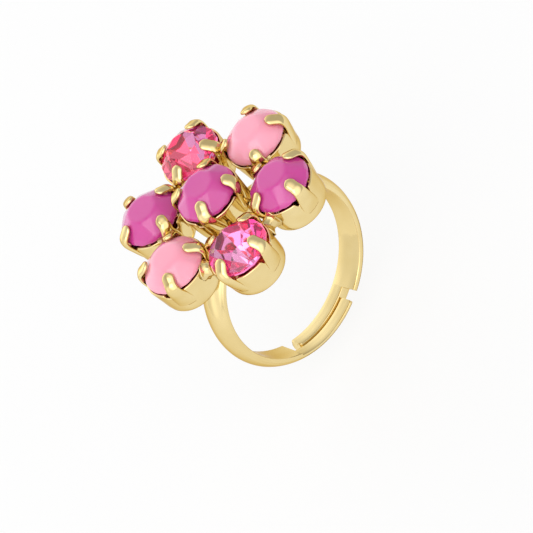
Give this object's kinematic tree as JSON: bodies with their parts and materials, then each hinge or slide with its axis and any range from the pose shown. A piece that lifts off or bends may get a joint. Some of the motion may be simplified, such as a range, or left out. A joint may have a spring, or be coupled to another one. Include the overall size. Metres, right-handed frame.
{
  "type": "cocktail ring",
  "caption": "Adjustable cocktail ring: a flower of round pink stones in four-claw gold cups on a domed split band whose ends slide past each other.",
  "frame": {"origin": "centre of the finger hole, on its axis and at the middle of the band's width", "axes": "+Y along the finger, +Z from the finger up through the flower of stones, +X towards the right-hand petal"},
  "size_m": [0.0214, 0.02, 0.0252],
  "materials": {
    "gold_band": "polished pale gold plating",
    "gold_cup": "polished pale gold plating over pressed brass",
    "gold_solder": "gold plated solder, slightly rough",
    "stone_pale_pink": "opaque milky pink glass, polished facets",
    "stone_fuchsia": "opaque orchid glass, polished facets",
    "stone_rose": "clear rose crystal with a foiled back"
  },
  "bodies": {
    "head": {"band_crown": "gold_band", "cup_centre": "gold_cup", "cup_right": "gold_cup", "cup_back_right": "gold_cup", "cup_back_left": "gold_cup", "cup_left": "gold_cup", "cup_front_left": "gold_cup", "cup_front_right": "gold_cup", "stone_centre": "stone_fuchsia", "stone_right": "stone_pale_pink", "stone_back_right": "stone_rose", "stone_back_left": "stone_fuchsia", "stone_left": "stone_pale_pink", "stone_front_left": "stone_rose", "stone_front_right": "stone_fuchsia", "solder_petal_beads": "gold_solder", "solder_centre_bridges": "gold_solder", "solder_band_fillets": "gold_solder"},
    "right_arm": {"band_right_arm": "gold_band"},
    "left_arm": {"band_left_arm": "gold_band"}
  },
  "joints": [
    {"name": "right_arm_flex", "type": "hinge", "parent": "head", "child": "right_arm", "pos_m": [0.00923, 0, 0], "axis": [0, -1, 0], "range_deg": [-3, 16]},
    {"name": "left_arm_flex", "type": "hinge", "parent": "head", "child": "left_arm", "pos_m": [-0.00923, 0, 0], "axis": [0, 1, 0], "range_deg": [-3, 16]}
  ],
  "couplings": [
    {"joint": "left_arm_flex", "follows": "right_arm_flex", "ratio": 1}
  ]
}
